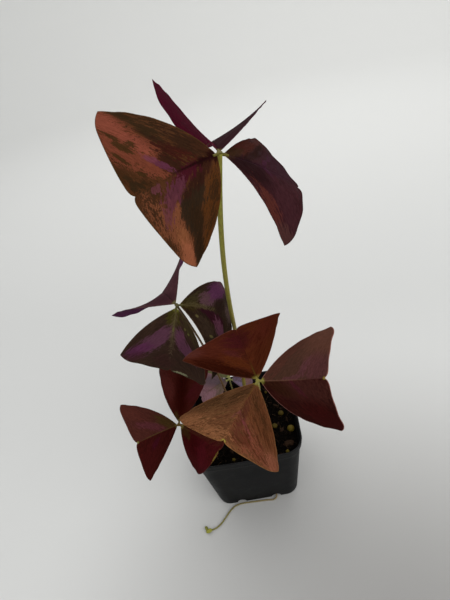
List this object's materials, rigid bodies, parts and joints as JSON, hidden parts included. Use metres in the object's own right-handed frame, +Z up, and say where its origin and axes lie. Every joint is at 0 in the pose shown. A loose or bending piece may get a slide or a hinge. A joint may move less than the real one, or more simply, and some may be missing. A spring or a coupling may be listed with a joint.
{
  "type": "potted purple shamrock",
  "caption": "Purple shamrock with folded trifoliate leaves on thin petioles, standing in a square black nursery pot of potting mix, with a thin shoot trailing from its base.",
  "frame": {"origin": "centre of the pot's flat underside, on the surface it stands on", "axes": "+Z up, -Y the front, towards which the leaves lean, +X to the right seen from the front"},
  "size_m": [0.1409, 0.1638, 0.3386],
  "materials": {
    "pot_plastic": "black moulded plastic, satin",
    "potting_mix": "dark moist potting mix",
    "petiole": "olive green, smooth",
    "shoot": "tan, smooth",
    "leaf_orange": "satin leaf surface",
    "leaf_maroon": "satin leaf surface",
    "leaf_wine": "satin leaf surface",
    "leaf_red_brown": "satin leaf surface",
    "leaf_purple": "satin leaf surface",
    "leaf_wine_red": "satin leaf surface",
    "leaf_pink": "satin leaf surface",
    "leaf_olive": "satin leaf surface"
  },
  "bodies": {
    "root": {"pot": "pot_plastic", "soil": "potting_mix", "petiole_tall": "petiole", "leaflet_tall_front": "leaf_orange", "leaflet_tall_right": "leaf_maroon", "leaflet_tall_back": "leaf_wine", "petiole_near": "petiole", "leaflet_near_back": "leaf_red_brown", "leaflet_near_right": "leaf_maroon", "leaflet_near_front": "leaf_orange", "petiole_middle": "petiole", "leaflet_middle_back": "leaf_purple", "leaflet_middle_front": "leaf_purple", "leaflet_middle_right": "leaf_purple", "petiole_low": "petiole", "leaflet_low_back": "leaf_wine_red", "leaflet_low_left": "leaf_wine_red", "leaflet_low_right": "leaf_wine_red", "petiole_inner": "petiole", "leaflet_inner_left": "leaf_pink", "leaflet_inner_right": "leaf_pink", "leaflet_inner_back": "leaf_olive", "trailing_shoot": "shoot"}
  },
  "joints": []
}
